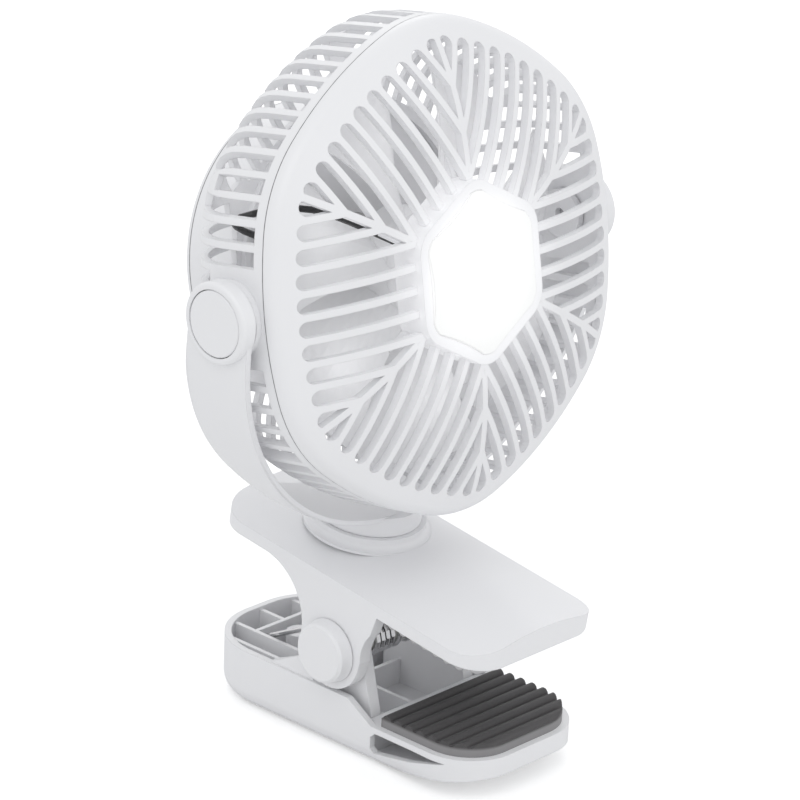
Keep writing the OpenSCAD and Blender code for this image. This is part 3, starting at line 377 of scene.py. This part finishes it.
# Along the fan's axis: the lens, the seam between grille and rear shell, the seam of the back cover
FORWARD = (HEAD.to_3x3() @ Vector((0, 0, 1))).normalized()
LENS = HEAD @ Vector((0, 0, 0.03))
SEAM = HEAD @ Vector((0, 0, 0.014))
COVER_SEAM = HEAD @ Vector((0, 0, -0.0515))
GROOVE = 0.0002
# painted shade: each seam is sunk as a bump groove and painted dark, standing in for the shade in the gap
# between the parts
HEAD_SEAM_SHADE = ((0.30, 0.30, 0.31), SEAM, FORWARD, 0.00022)
COVER_SEAM_SHADE = ((0.34, 0.34, 0.35), COVER_SEAM, FORWARD, 0.0002)
# painted shading: on the lower pad, a lighter grey band around 14.5 mm height, set against the painted shade
# on the rest of it
PAD_FLANK_PAINTED_SHADING = ((0.26, 0.255, 0.26), (0, 0, 0.0145), (0, 0, 1), 0.0036)

WHITE = (0.84, 0.84, 0.855)
RUBBER = dict(grain=1800.0, depth=0.2)

white_shell = finish("white_shell", WHITE, roughness=0.38)
white_head = banded(finish("white_head", WHITE, roughness=0.36), *HEAD_SEAM_SHADE, groove=GROOVE)
white_grille_painted_halo = banded(finish("white_grille_painted_halo", WHITE, roughness=0.36), *HEAD_SEAM_SHADE, groove=GROOVE)
# painted light: the grille ribs around the lens glow as a painted halo of the lamp, though the grille is no
# lamp
lit(white_grille_painted_halo, LENS, FORWARD, 0.021, 0.048, 0.0, 0.26)
white_drum = banded(finish("white_drum", WHITE, roughness=0.38), *COVER_SEAM_SHADE, groove=GROOVE)
white_blades = finish("white_blades", (0.86, 0.86, 0.87), roughness=0.45)
nylon = finish("natural_nylon", (0.72, 0.72, 0.70), roughness=0.5)
grey_keys = finish("grey_keys", (0.42, 0.43, 0.45), roughness=0.3, grain=1200.0, depth=0.03)
# painted light and shade: the two pads are one grey rubber, the lower painted near black as shade from the
# upper jaw and the clamped bar, the upper painted light grey as lit
rubber_painted_shade = banded(finish("rubber_painted_shade", (0.070, 0.067, 0.069), roughness=0.62, drift=0.08, **RUBBER),
                     *PAD_FLANK_PAINTED_SHADING, soft=0.6)
rubber_painted_light = finish("rubber_painted_light", (0.50, 0.495, 0.505), roughness=0.6, drift=0.05, edge=0.0005, **RUBBER)
black_cable = finish("black_cable", (0.02, 0.02, 0.021), roughness=0.45, drift=0.05, edge=0.0001)
dark_washer = finish("dark_washer", (0.03, 0.03, 0.03), roughness=0.6)
green_board = finish("green_board", (0.01, 0.09, 0.03), roughness=0.35, drift=0.15, edge=0.0001)
lamp_board = finish("lamp_board", (0.75, 0.75, 0.68), roughness=0.35, edge=0.0001)
cell_wrap = finish("cell_wrap", (0.02, 0.12, 0.36), roughness=0.25, drift=0.05, edge=0.0003)
light_pipe = finish("light_pipe", (0.35, 0.5, 0.8), roughness=0.15, edge=0.0001)
steel = finish("bright_steel", (0.62, 0.62, 0.63), roughness=0.22, drift=0.05, grain=3000.0, depth=0.04,
               edge=0.0002, metallic=1.0)
motor_can = finish("motor_can", (0.48, 0.48, 0.47), roughness=0.32, drift=0.06, metallic=1.0)
opal_lamp = finish("opal_lamp", (0.95, 0.95, 0.94), roughness=0.32, drift=0.01, edge=0.0006)
lit(opal_lamp, LENS, FORWARD, 0.004, 0.029, 0.10, 0.42)

FINISHES = {
    white_shell: ["yoke", "pivot_cap_left", "pivot_cap_right", "upper_jaw", "lower_jaw", "hinge_cap_left",
                  "hinge_cap_right", "pivot_stub_left", "pivot_stub_right"],
    white_head: ["rear_shell"],
    white_grille_painted_halo: ["front_grille"],
    white_drum: ["battery_case", "back_cover"],
    white_blades: ["fan_impeller"],
    nylon: ["pin_sleeve"],
    grey_keys: ["fan_button", "light_button"],
    rubber_painted_light: ["upper_pad"],
    rubber_painted_shade: ["lower_pad"],
    black_cable: ["led_lead"],
    dark_washer: ["friction_washer_left", "friction_washer_right"],
    green_board: ["main_board"],
    lamp_board: ["led_board"],
    cell_wrap: ["battery_cells"],
    light_pipe: ["charge_lights"],
    motor_can: ["motor_body"],
    opal_lamp: ["lamp_lens"],
    steel: ["motor_shaft", "hinge_pin", "clamp_spring", "spring_arm", "swivel_retainer", "swivel_screw",
            "usb_port", "pivot_screw_left", "pivot_screw_right", "cover_screws"],
}

for material, names in FINISHES.items():
    for name in names:
        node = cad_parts[name]
        node.data.materials.clear()
        node.data.materials.append(material)

bpy.context.scene.view_settings.view_transform = "Standard"
